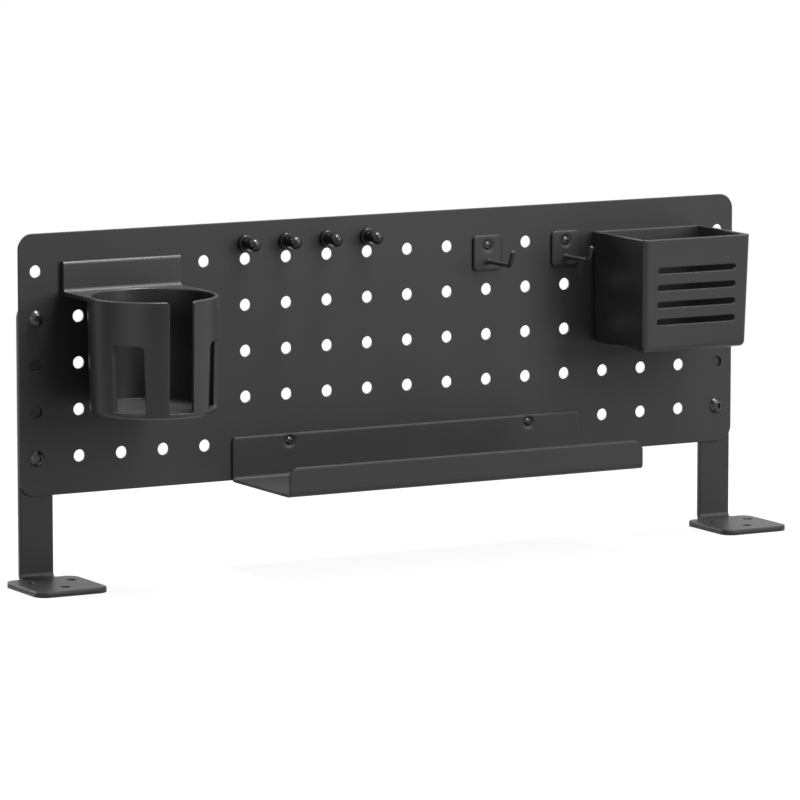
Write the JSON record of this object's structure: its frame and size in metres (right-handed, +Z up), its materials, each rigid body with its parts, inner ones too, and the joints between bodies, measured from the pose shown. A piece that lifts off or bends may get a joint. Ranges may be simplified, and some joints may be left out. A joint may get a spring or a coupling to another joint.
{
  "type": "pegboard desk organizer",
  "caption": "Free-standing steel pegboard on bent legs with a split cup holder, folded tray, J-hooks, slotted pen bin and magnetic push pins.",
  "frame": {"origin": "middle of the whole outline at desk level, under the board", "axes": "+X along the board to the right as seen from the front, +Y to the back, +Z up"},
  "size_m": [0.56, 0.0988, 0.2244],
  "materials": {
    "board_steel": "satin powder coat",
    "leg_steel": "satin powder coat",
    "tray_steel": "satin powder coat",
    "hook_steel": "satin powder coat",
    "screw_steel": "black oxide",
    "nut_steel": "black oxide",
    "moulded_abs": "fine matte grain",
    "pin_plastic": "gloss",
    "magnet": "nickel plate"
  },
  "bodies": {
    "stand": {"pegboard_panel": "board_steel", "left_leg": "leg_steel", "right_leg": "leg_steel", "leg_screws": "screw_steel", "leg_nuts": "nut_steel", "shelf_tray": "tray_steel", "tray_screws": "screw_steel", "tray_washers": "nut_steel", "tray_nuts": "nut_steel", "left_hook_plate": "hook_steel", "left_hook_arm": "hook_steel", "right_hook_plate": "hook_steel", "right_hook_arm": "hook_steel", "hook_screws": "screw_steel", "hook_washers": "nut_steel", "hook_nuts": "nut_steel"},
    "cup_holder": {"cup_holder": "moulded_abs"},
    "pen_bin": {"pen_bin": "moulded_abs"},
    "push_pin_1": {"pin_1_grip": "pin_plastic", "pin_1_magnet": "magnet"},
    "push_pin_2": {"pin_2_grip": "pin_plastic", "pin_2_magnet": "magnet"},
    "push_pin_3": {"pin_3_grip": "pin_plastic", "pin_3_magnet": "magnet"},
    "push_pin_4": {"pin_4_grip": "pin_plastic", "pin_4_magnet": "magnet"}
  },
  "joints": [
    {"name": "cup_lift", "type": "slide", "parent": "stand", "child": "cup_holder", "axis": [0, 0, 1], "range_m": [0, 0.0038]},
    {"name": "bin_lift", "type": "slide", "parent": "stand", "child": "pen_bin", "axis": [0, 0, 1], "range_m": [0, 0.0038]},
    {"name": "pin_1_pull", "type": "slide", "parent": "stand", "child": "push_pin_1", "axis": [0, -1, 0], "range_m": [0, 0.03]},
    {"name": "pin_2_pull", "type": "slide", "parent": "stand", "child": "push_pin_2", "axis": [0, -1, 0], "range_m": [0, 0.03]},
    {"name": "pin_3_pull", "type": "slide", "parent": "stand", "child": "push_pin_3", "axis": [0, -1, 0], "range_m": [0, 0.03]},
    {"name": "pin_4_pull", "type": "slide", "parent": "stand", "child": "push_pin_4", "axis": [0, -1, 0], "range_m": [0, 0.03]}
  ]
}
